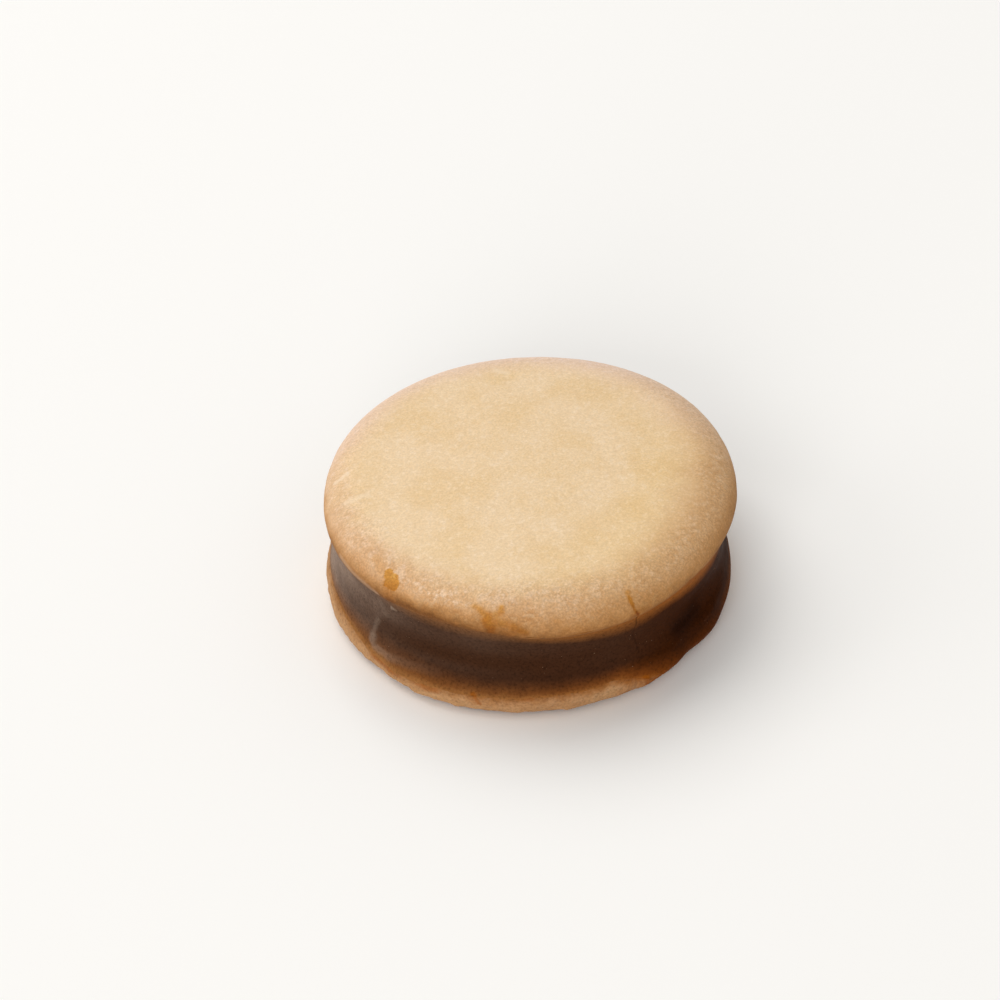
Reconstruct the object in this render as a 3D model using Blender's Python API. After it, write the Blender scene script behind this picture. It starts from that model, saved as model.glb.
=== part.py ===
"""A dulce de leche alfajor: two round biscuits with a thick layer of milk caramel between them.

It stands on the flat underside of its lower biscuit, +Z up, in metres. The origin is on the table
under the middle of the whole piece, and the side that shows the fold in the caramel faces -Y.
"""

import math

import bmesh
import bpy
from mathutils import Vector

MM = 0.001

# Driving sizes of the whole sandwich.
DIAMETER = 65.0 * MM
BOTTOM_HEIGHT = 6.2 * MM
FILLING_HEIGHT = 9.2 * MM
TOP_HEIGHT = 7.5 * MM
SEAT_GAP = 0.3 * MM

# Levels that follow from them, counted up from the table.
FILLING_FOOT = BOTTOM_HEIGHT + SEAT_GAP
FILLING_HEAD = FILLING_FOOT + FILLING_HEIGHT
TOP_SEAT = FILLING_HEAD + SEAT_GAP

# How finely the solids are divided, round the rim and up their edges.
SEGMENTS = 144
FOOT_STEPS, SHOULDER_STEPS = 4, 5
SIDE_STEPS = 10
LIP_STEPS, CROWN_STEPS = 3, 7
CROWN_RINGS = (0.8, 0.55, 0.3, 0.0)
SMOOTH_UNDER = math.radians(40)
MERGE_DISTANCE = 0.001 * MM

# The lower biscuit has a flat base, a rounded foot and a softly rounded upper edge.
BOTTOM_RADIUS = DIAMETER / 2
BOTTOM_WIDEST_AT = 3.0 * MM
BOTTOM_FOOT_INSET = 2.2 * MM
BOTTOM_SHOULDER_INSET = 1.9 * MM
# Each wave is (count round the rim, share of the radius, angle of its crest in degrees).
BOTTOM_WAVES = ((2, 0.0008, 49.0), (5, 0.0015, 183.0), (6, 0.0015, 33.0))
# Each dent is (angle in degrees, depth, half width in degrees). A negative depth stands proud.
BOTTOM_DENTS = (
    (-137.0, 0.32 * MM, 2.6),
    (-126.0, -0.16 * MM, 9.0),
    (-56.0, -0.20 * MM, 4.0),
    (-41.0, 0.50 * MM, 5.0),
    (-29.0, -0.26 * MM, 5.0),
    (27.0, 0.32 * MM, 4.0),
    (96.0, -0.20 * MM, 6.0),
    (143.0, 0.28 * MM, 4.0),
)

# The upper biscuit is a shallow dome that overhangs the caramel, set a little off centre.
TOP_RADIUS = 32.65 * MM
TOP_WIDEST_ABOVE_SEAT = 1.7 * MM
TOP_LIP_INSET = 1.6 * MM
TOP_SHOULDER_ABOVE_SEAT = 5.7 * MM
TOP_SHOULDER_INSET = 6.5 * MM
TOP_OFFSET = Vector((0.74 * MM, 0.58 * MM))
TOP_WAVES = ((3, 0.0076, 119.0), (4, 0.0050, 73.0), (5, 0.0051, 309.0), (6, 0.0026, 244.0))
TOP_SWELL, TOP_SWELL_CREST = 0.12 * MM, 29.0

# The caramel is pressed out almost flush. Its foot flares over the lower biscuit.
FILLING_RADIUS = 31.2 * MM
FOOT_FLARE, FOOT_FLARE_REACH = 0.55 * MM, 2.6 * MM
HEAD_FLARE = 0.15 * MM
FILLING_OFFSET_SHARE = 0.5

# A long shallow hollow runs along its front, and sinks towards the lower biscuit at the right.
HOLLOW_DEPTH = 0.55 * MM
HOLLOW_LEVEL, HOLLOW_SINK_PER_DEGREE = 11.6 * MM, 0.035 * MM
HOLLOW_HALF_HEIGHT = 2.9 * MM
HOLLOW_END, HOLLOW_END_FADE = -14.0, 12.0
DIMPLE_DEPTH, DIMPLE_ANGLE, DIMPLE_WIDTH = 0.40 * MM, -37.0, 11.0
BACK_HOLLOW_SHARE, BACK_HOLLOW_ANGLE, BACK_HOLLOW_WIDTH = 0.45, 95.0, 45.0

# The hollow's left end is a fold, whose raised edge leans back as it climbs.
FOLD_ANGLE, FOLD_FADE = -141.0, 6.0
FOLD_LEAN, FOLD_LEVEL = 8.0, 7.0 * MM
RIDGE_HEIGHT, RIDGE_WIDTH = 0.22 * MM, 2.6

# The biscuits weren't pressed quite level, so the right and the far side stand a little taller.
LEAN_RIGHT, LEAN_BACK = 0.0022, 0.0035

BISCUIT_COLOUR, BISCUIT_ROUGHNESS = (0.80, 0.60, 0.37, 1.0), 0.7
BISCUIT_EDGE_COLOUR, BISCUIT_EDGE_ROUGHNESS = (0.62, 0.40, 0.20, 1.0), 0.75
CARAMEL_COLOUR, CARAMEL_ROUGHNESS = (0.045, 0.017, 0.007, 1.0), 0.38


def clear_scene():
    for obj in list(bpy.data.objects):
        bpy.data.objects.remove(obj)


def finish_material(name, colour, roughness):
    material = bpy.data.materials.new(name)
    material.use_nodes = True
    shader = material.node_tree.nodes["Principled BSDF"]
    shader.inputs["Base Color"].default_value = colour
    shader.inputs["Roughness"].default_value = roughness
    shader.inputs["Metallic"].default_value = 0.0
    material.diffuse_color = colour
    return material


def smooth_step(low, high, value):
    """0 below low, 1 above high, with an S-shaped rise between."""
    share = min(1.0, max(0.0, (value - low) / (high - low)))
    return share * share * (3 - 2 * share)


def bell(offset, half_width):
    """1 at no offset, falling smoothly to almost nothing two half widths away."""
    return math.exp(-((offset / half_width) ** 2))


def turn_from(centre, angle):
    """The turn in degrees from a centre angle to another, between -180 and 180."""
    return (angle - centre + 180) % 360 - 180


def rounded(outer, level, inset, rise, start, end, steps):
    """Points of a quarter-oval edge about its widest ring, from one angle to another in degrees."""
    points = []
    for step in range(steps + 1):
        angle = math.radians(start + (end - start) * step / steps)
        points.append((outer - inset * (1 - math.cos(angle)), level + rise * math.sin(angle)))
    return points


def rim_share(waves, angle):
    """How far the rim reaches at an angle, as a share of its radius."""
    return 1 + sum(size * math.cos(count * angle - math.radians(crest)) for count, size, crest in waves)


def rim_dent(dents, angle):
    """How deep the dents cut into the rim at an angle in degrees."""
    return sum(depth * bell(turn_from(centre, angle), width) for centre, depth, width in dents)


def leaned(point, share):
    """The point lifted by the lean, in full at share 1 and not at all at share 0."""
    point.z += share * (LEAN_RIGHT * point.x + LEAN_BACK * point.y)
    return point


def turned_solid(name, section, reshape, material):
    """Turns a half-section that starts and ends on the axis, then moves each point by reshape."""
    body = bmesh.new()
    corners = [body.verts.new((radius, 0.0, level)) for radius, level in section]
    edges = [body.edges.new(pair) for pair in zip(corners, corners[1:])]
    bmesh.ops.spin(body, geom=corners + edges, cent=(0, 0, 0), axis=(0, 0, 1), angle=math.tau,
                   steps=SEGMENTS, use_merge=True)
    bmesh.ops.remove_doubles(body, verts=body.verts, dist=MERGE_DISTANCE)
    bmesh.ops.recalc_face_normals(body, faces=body.faces)
    for vertex in body.verts:
        vertex.co = reshape(vertex.co.copy())
    mesh = bpy.data.meshes.new(name)
    body.to_mesh(mesh)
    body.free()
    mesh.shade_smooth()
    mesh.set_sharp_from_angle(angle=SMOOTH_UNDER)
    mesh.materials.append(material)
    solid = bpy.data.objects.new(name, mesh)
    bpy.context.scene.collection.objects.link(solid)
    return solid


def bottom_biscuit():
    foot = rounded(BOTTOM_RADIUS, BOTTOM_WIDEST_AT, BOTTOM_FOOT_INSET, BOTTOM_WIDEST_AT,
                   -90, 0, FOOT_STEPS)
    shoulder = rounded(BOTTOM_RADIUS, BOTTOM_WIDEST_AT, BOTTOM_SHOULDER_INSET,
                       BOTTOM_HEIGHT - BOTTOM_WIDEST_AT, 0, 90, SHOULDER_STEPS)
    section = [(0, 0), *foot, *shoulder[1:], (0, BOTTOM_HEIGHT)]

    def uneven(point):
        angle = math.atan2(point.y, point.x)
        dent = rim_dent(BOTTOM_DENTS, math.degrees(angle)) / BOTTOM_RADIUS
        share = rim_share(BOTTOM_WAVES, angle) - dent
        point.x *= share
        point.y *= share
        return point

    material = finish_material("biscuit_edge", BISCUIT_EDGE_COLOUR, BISCUIT_EDGE_ROUGHNESS)
    return turned_solid("bottom_biscuit", section, uneven, material)


def past_fold(angle, level):
    """The turn in degrees from the fold's edge at a level, which swings back as it climbs."""
    climb = max(0.0, level - FOLD_LEVEL) / (FILLING_HEAD - FOLD_LEVEL)
    return turn_from(FOLD_ANGLE + FOLD_LEAN * climb**2, angle)


def caramel_inset(angle, level):
    """How far the caramel's side is pressed in at an angle in degrees and a level."""
    fold = past_fold(angle, level)
    front = smooth_step(0, FOLD_FADE, fold)
    front *= 1 - smooth_step(HOLLOW_END - HOLLOW_END_FADE, HOLLOW_END, angle)
    back = BACK_HOLLOW_SHARE * bell(turn_from(BACK_HOLLOW_ANGLE, angle), BACK_HOLLOW_WIDTH)
    dimple = bell(turn_from(DIMPLE_ANGLE, angle), DIMPLE_WIDTH)
    sink = HOLLOW_SINK_PER_DEGREE * max(0.0, min(angle, HOLLOW_END) - FOLD_ANGLE)
    inset = HOLLOW_DEPTH * front + DIMPLE_DEPTH * dimple
    inset *= bell(level - (HOLLOW_LEVEL - sink), HOLLOW_HALF_HEIGHT)
    inset += HOLLOW_DEPTH * back * bell(level - HOLLOW_LEVEL, HOLLOW_HALF_HEIGHT)
    return inset - RIDGE_HEIGHT * bell(fold, RIDGE_WIDTH)


def filling():
    levels = [FILLING_FOOT + FILLING_HEIGHT * step / SIDE_STEPS for step in range(SIDE_STEPS + 1)]
    side = [(FILLING_RADIUS, level) for level in levels]
    section = [(0, FILLING_FOOT), *side, (0, FILLING_HEAD)]

    def pressed(point):
        height_share = (point.z - FILLING_FOOT) / FILLING_HEIGHT
        flare = FOOT_FLARE * max(0.0, 1 - (point.z - FILLING_FOOT) / FOOT_FLARE_REACH) ** 2
        flare += HEAD_FLARE * smooth_step(HOLLOW_LEVEL, FILLING_HEAD, point.z)
        inset = caramel_inset(math.degrees(math.atan2(point.y, point.x)), point.z)
        share = (FILLING_RADIUS + flare - inset) / FILLING_RADIUS
        point.x *= share
        point.y *= share
        point.xy += TOP_OFFSET * height_share * FILLING_OFFSET_SHARE
        return leaned(point, height_share)

    material = finish_material("caramel", CARAMEL_COLOUR, CARAMEL_ROUGHNESS)
    return turned_solid("filling", section, pressed, material)


def top_biscuit():
    widest = TOP_SEAT + TOP_WIDEST_ABOVE_SEAT
    shoulder_rise = TOP_SHOULDER_ABOVE_SEAT - TOP_WIDEST_ABOVE_SEAT
    dome_rise = TOP_HEIGHT - TOP_SHOULDER_ABOVE_SEAT
    lip = rounded(TOP_RADIUS, widest, TOP_LIP_INSET, TOP_WIDEST_ABOVE_SEAT, -90, 0, LIP_STEPS)
    shoulder = rounded(TOP_RADIUS, widest, TOP_SHOULDER_INSET, shoulder_rise, 0, 90, CROWN_STEPS)
    plateau = TOP_RADIUS - TOP_SHOULDER_INSET
    inner = [(plateau * share, widest + shoulder_rise) for share in CROWN_RINGS]
    section = [(0, TOP_SEAT), *lip, *shoulder[1:], *inner]

    def domed(point):
        reach = point.xy.length / TOP_RADIUS
        angle = math.atan2(point.y, point.x)
        upper = smooth_step(widest, widest + shoulder_rise, point.z)
        point.z += upper * dome_rise * (1 - reach**2)
        point.z += upper * TOP_SWELL * reach * math.cos(2 * (angle - math.radians(TOP_SWELL_CREST)))
        share = 1 + (rim_share(TOP_WAVES, angle) - 1) * reach**2
        point.x *= share
        point.y *= share
        point.xy += TOP_OFFSET
        return leaned(point, 1.0)

    material = finish_material("biscuit", BISCUIT_COLOUR, BISCUIT_ROUGHNESS)
    return turned_solid("top_biscuit", section, domed, material)


def centre_over_origin(solids):
    """Slides the whole sandwich so that the middle of its box stands over the origin."""
    points = [vertex.co for solid in solids for vertex in solid.data.vertices]
    low = Vector((min(point.x for point in points), min(point.y for point in points), 0.0))
    high = Vector((max(point.x for point in points), max(point.y for point in points), 0.0))
    for solid in solids:
        solid.location = -(low + high) / 2


clear_scene()
centre_over_origin([bottom_biscuit(), filling(), top_biscuit()])
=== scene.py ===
import math

import bpy
import numpy as np
from mathutils import Matrix, Vector


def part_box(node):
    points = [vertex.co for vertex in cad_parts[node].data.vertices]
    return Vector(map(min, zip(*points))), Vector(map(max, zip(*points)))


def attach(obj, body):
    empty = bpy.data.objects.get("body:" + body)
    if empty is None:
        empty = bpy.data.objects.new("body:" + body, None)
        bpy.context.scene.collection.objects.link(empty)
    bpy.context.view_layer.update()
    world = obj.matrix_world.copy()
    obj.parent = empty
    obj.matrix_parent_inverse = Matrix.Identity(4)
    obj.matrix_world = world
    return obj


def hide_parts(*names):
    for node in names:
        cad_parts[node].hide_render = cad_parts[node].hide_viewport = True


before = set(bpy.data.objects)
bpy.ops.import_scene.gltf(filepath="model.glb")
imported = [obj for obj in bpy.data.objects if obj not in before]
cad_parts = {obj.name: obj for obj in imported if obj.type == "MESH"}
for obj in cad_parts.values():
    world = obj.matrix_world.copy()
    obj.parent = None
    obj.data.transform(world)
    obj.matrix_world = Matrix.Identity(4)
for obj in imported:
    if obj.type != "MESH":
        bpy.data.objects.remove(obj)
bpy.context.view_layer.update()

mm = 0.001
scene = bpy.context.scene
print("frame loaded:", ", ".join(sorted(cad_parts)))


# Plain numbers and noise, all on whole arrays

# 0 below low, 1 above high, with an S-shaped rise between
def smoothStep(low, high, value):
    share = np.clip((value - low) / (high - low), 0, 1)
    return share * share * (3 - 2 * share)


# 1 at no offset, falling to almost nothing two half widths away
def bell(offset, halfWidth):
    return np.exp(-((offset / halfWidth) ** 2))


# The turn in degrees from a centre angle, between -180 and 180
def turnFrom(centre, angle):
    return (angle - centre + 180) % 360 - 180


# Cloudy noise from -1 to 1: random numbers on a cubic lattice, whose cells have the given size in
# millimetres, blended between a cell's eight corners with S-shaped weights
def cloud(points, cell, seed):
    size = 48
    lattice = np.random.default_rng(seed).uniform(-1, 1, (size, size, size))
    place = points / cell + 100.31
    low = np.floor(place).astype(int)
    part = place - low
    part = part * part * (3 - 2 * part)
    total = np.zeros(points.shape[:-1])
    for corner in np.ndindex(2, 2, 2):
        index = (low + corner) % size
        weight = np.prod(np.where(corner, part, 1 - part), axis=-1)
        total += weight * lattice[index[..., 0], index[..., 1], index[..., 2]]
    return total


# A sum of cloudy noise, from (cell size, depth) pairs in millimetres
def cloudRelief(points, layers, seed):
    return sum(depth * cloud(points, cell, seed + turn) for turn, (cell, depth) in enumerate(layers))


# The shortest distance from each point to a chain of straight stretches
def distanceToPath(points, path):
    nearest = np.full(points.shape[:-1], np.inf)
    for start, end in zip(path, path[1:]):
        run = end - start
        along = np.clip((points - start) @ run / (run @ run), 0, 1)
        gap = points - start - along[..., None] * run
        nearest = np.minimum(nearest, np.sqrt((gap * gap).sum(axis=-1)))
    return nearest


# Points in millimetres from stops of (angle, radius, level)
def stopsToPoints(stops):
    angle, radius, level = np.array(stops).T
    turn = np.radians(angle)
    return np.stack([radius * np.cos(turn), radius * np.sin(turn), level], axis=-1)


# Points laid out flat: the way round a circle of the given radius, and the level
def unrolled(points, radius):
    return np.stack([radius * np.arctan2(points[..., 1], points[..., 0]), points[..., 2]], axis=-1)


# The strongest mark at each point. A mark is (strength, half width, softness, stops): full up to
# its half width from the chain of stops and gone one softness further, with a ragged edge.
def markTone(points, marks, ragged):
    edge = ragged * (cloud(points, 0.9, 71) + 0.6 * cloud(points, 0.4, 72))
    tone = np.zeros(points.shape[:-1])
    for strength, width, softness, stops in marks:
        distance = distanceToPath(points, stopsToPoints(stops)) + edge
        tone = np.maximum(tone, strength * (1 - smoothStep(width, width + softness, distance)))
    return tone


# Grids: rows climb from the lowest ring to the highest, columns run round from -180 degrees

grid = {"columns": 660, "closerAt": ((-139, 8, 1.2), (-60, 3.5, 2.6))}  # angle, half width, how much closer


# Column angles in degrees, spaced by the inverse of a density that rises at the fine details
fine = np.linspace(-180, 180, 7201)
density = 1 + sum(more * bell(turnFrom(centre, fine), width) for centre, width, more in grid["closerAt"])
reached = np.concatenate([[0], np.cumsum((density[1:] + density[:-1]) / 2)])
wanted = np.arange(grid["columns"]) / grid["columns"] * reached[-1]
angles = np.interp(wanted, reached, fine)
turns = np.radians(angles)


# A value for each column that changes smoothly round the rim through stops of (angle, value): the
# mean of the straight run between stops at five nearby angles
def roundTheRim(stops):
    stopAngles, values = np.array(stops).T
    nearby = (-6, -3, 0, 3, 6)
    return sum(np.interp(angles + shift, stopAngles, values, period=360) for shift in nearby) / 5


# How far points lie from an upright axis
def reachFrom(points, axis=(0, 0)):
    return np.hypot(points[..., 0] - axis[0], points[..., 1] - axis[1])


# A ring grid in millimetres from radii and levels of the shape (rows, columns)
def ringGrid(radii, levels):
    radii, levels = np.broadcast_arrays(radii, levels)
    return np.stack([radii * np.cos(turns), radii * np.sin(turns), levels + 0 * turns], axis=-1)


# Moves every grid point by a height in millimetres along its outward normal, the cross product of
# the way round and the way up
def raised(rings, height):
    around = np.roll(rings, -1, axis=1) - np.roll(rings, 1, axis=1)
    normals = np.cross(around, np.gradient(rings, axis=0))
    lengths = np.linalg.norm(normals, axis=-1, keepdims=True)
    return rings + normals / np.maximum(lengths, 1e-9) * height[..., None]


# A new object in the scene, at the origin
def newObject(name, data):
    made = bpy.data.objects.new(name, data)
    scene.collection.objects.link(made)
    return made


# A new object from points in millimetres and faces, with the tones as named point values
def newPiece(name, points, faces, material, tones):
    mesh = bpy.data.meshes.new(name)
    mesh.from_pydata(points * mm, [], faces)
    for toneName, tone in tones.items():
        layer = mesh.attributes.new(toneName, "FLOAT", "POINT")
        layer.data.foreach_set("value", tone.astype(np.float32))
    mesh.shade_smooth()
    mesh.materials.append(material)
    print(f"{name}: {len(mesh.polygons)} faces")
    return newObject(name, mesh)


# A closed piece from a ring grid: quads between rings, and a fan at either end
def closedPiece(name, rings, material, tones):
    rows, columns = rings.shape[:2]
    poles = np.stack([rings[0].mean(axis=0), rings[-1].mean(axis=0)])
    index = np.arange(rows * columns).reshape(rows, columns)
    onwards = np.roll(index, -1, axis=1)
    quads = np.stack([index[:-1], onwards[:-1], onwards[1:], index[1:]], axis=-1).reshape(-1, 4)
    lowFan = np.stack([np.full(columns, rows * columns), onwards[0], index[0]], axis=-1)
    highFan = np.stack([index[-1], onwards[-1], np.full(columns, rows * columns + 1)], axis=-1)
    flat = {
        toneName: np.concatenate([tone.reshape(-1), [tone[0].mean(), tone[-1].mean()]])
        for toneName, tone in tones.items()
    }
    points = np.concatenate([rings.reshape(-1, 3), poles])
    faces = quads.tolist() + lowFan.tolist() + highFan.tolist()
    return newPiece(name, points, faces, material, flat)


# How far a rim reaches, as a share of its radius: waves of (count, size, crest angle)
def rimShare(waves, angle):
    turn = np.radians(angle)
    return 1 + sum(size * np.cos(count * turn - math.radians(crest)) for count, size, crest in waves)


# A quarter oval about the widest ring, from one angle to another: (insets, rises) of its points
def quarterOval(inset, rise, start, end, steps):
    angle = np.radians(np.linspace(start, end, steps + 1))
    return inset * (1 - np.cos(angle)), rise * np.sin(angle)


# How much of its inset a quarter oval has come in, at a share of its rise
def ovalInset(share):
    return 1 - np.sqrt(1 - share**2)


# A biscuit's half-section as radii and levels: a flat underside, a quarter oval out to the widest
# ring, a quarter oval back in to the top, and a flat top
def halfSection(shape, seat, widest, top, lowInset):
    radius, highInset = shape["radius"], shape["shoulderInset"]
    underRows, lowRows, highRows, overRows = shape["rows"]
    under = np.linspace(shape["flats"][0], 1, underRows, endpoint=False)
    over = np.linspace(1, shape["flats"][1], overRows)[1:]
    outwards, lowRise = quarterOval(lowInset, widest - seat, -90, 0, lowRows)
    inwards, highRise = quarterOval(highInset, top - widest, 0, 90, highRows)
    radii = [
        (radius - lowInset) * under, radius - outwards, radius - inwards[1:], (radius - highInset) * over,
    ]
    levels = [0 * under + seat, widest + lowRise, widest + highRise[1:], 0 * over + top]
    return np.concatenate(radii), np.concatenate(levels)


lean = {"right": 0.0022, "back": 0.0035}


# Lifts points by the slight tilt of the upper layers, by a share from 0 to 1
def leaned(rings, share):
    tilt = lean["right"] * rings[..., 0] + lean["back"] * rings[..., 1]
    return rings + np.stack([0 * tilt, 0 * tilt, tilt * share], axis=-1)


# Materials: small helpers that add a node, set it and link it

# A colour as a screen shows it, from 0 to 255, turned into the renderer's linear values
def shade(red, green, blue):
    part = np.array([red, green, blue]) / 255
    linear = np.where(part <= 0.04045, part / 12.92, ((part + 0.055) / 1.055) ** 2.4)
    return (*linear.tolist(), 1)


def addTone(tree, name):
    made = tree.nodes.new("ShaderNodeAttribute")
    made.attribute_name = name
    return made.outputs["Fac"]


# Sets a node's input to a fixed value, or links it to an output or to the tone of that name
def feed(tree, socket, value):
    if isinstance(value, str):
        value = addTone(tree, value)
    if isinstance(value, bpy.types.NodeSocket):
        tree.links.new(value, socket)
    else:
        socket.default_value = value


# Adds a node and feeds its inputs, by name or by number
def addNode(tree, kind, inputs):
    made = tree.nodes.new("ShaderNode" + kind)
    for name, value in inputs.items():
        feed(tree, made.inputs[name], value)
    return made


# Noise on Object coordinates, whose largest clouds measure the given millimetres
def addNoise(tree, size, detail=3, roughness=0.55):
    place = addNode(tree, "TexCoord", {}).outputs["Object"]
    inputs = {"Vector": place, "Scale": 1 / (size * mm), "Detail": detail, "Roughness": roughness}
    return addNode(tree, "TexNoise", inputs).outputs["Fac"]


def addMath(tree, operation, first, second):
    made = addNode(tree, "Math", {0: first, 1: second})
    made.operation = operation
    return made.outputs[0]


def addTimes(tree, first, second):
    return addMath(tree, "MULTIPLY", first, second)


# Stretches a range of values onto another with an S-shaped rise, cut off at its ends
def addRange(tree, value, low, high, newLow=0, newHigh=1):
    ends = {"From Min": low, "From Max": high, "To Min": newLow, "To Max": newHigh}
    made = addNode(tree, "MapRange", {"Value": value, **ends})
    made.interpolation_type = "SMOOTHSTEP"
    return made.outputs[0]


def addMix(tree, factor, first, second, blend="MIX"):
    made = addNode(tree, "Mix", {})
    made.data_type, made.blend_type = "RGBA", blend
    for number, value in ((0, factor), (6, first), (7, second)):
        feed(tree, made.inputs[number], value)
    return made.outputs[2]


# Lays colours over a colour in turn: each layer is (tone or share, (strength, colour))
def addLayers(tree, colour, blend, *layers):
    for tone, (strength, over) in layers:
        colour = addMix(tree, addTimes(tree, tone, strength), colour, over, blend)
    return colour


# A ramp through (place, value) stops, where a value is a colour or a plain number
def addRamp(tree, factor, stops):
    made = addNode(tree, "ValToRGB", {"Fac": factor})
    elements = made.color_ramp.elements
    while len(elements) < len(stops):
        elements.new(0.5)
    for element, (place, value) in zip(elements, stops):
        element.position = place
        element.color = value if isinstance(value, tuple) else (value, value, value, 1)
    return made.outputs["Color"]


# A tone loosened by noise: tone plus the noise's distance from its middle, times an amount
def addLoosened(tree, tone, noise, amount):
    swing = addTimes(tree, addMath(tree, "SUBTRACT", noise, 0.5), amount)
    return addMath(tree, "ADD", tone, swing)


# Feeds the shader and adds up its bumps, each (height, depth in millimetres)
def feedShader(tree, colour, roughness, gloss, bumps=()):
    shader = tree.nodes["Principled BSDF"]
    feed(tree, shader.inputs["Base Color"], colour)
    feed(tree, shader.inputs["Roughness"], roughness)
    shader.inputs["Specular IOR Level"].default_value = gloss
    onwards = shader.inputs["Normal"]
    for height, depth in reversed(bumps):
        made = addNode(tree, "Bump", {"Strength": 1, "Distance": depth * mm, "Height": height})
        tree.links.new(made.outputs["Normal"], onwards)
        onwards = made.inputs["Normal"]


def newMaterial(name):
    made = bpy.data.materials.new(name)
    made.use_nodes = True
    return made, made.node_tree


# The upper biscuit: its shape, then its relief, its stains and its finish

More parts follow.
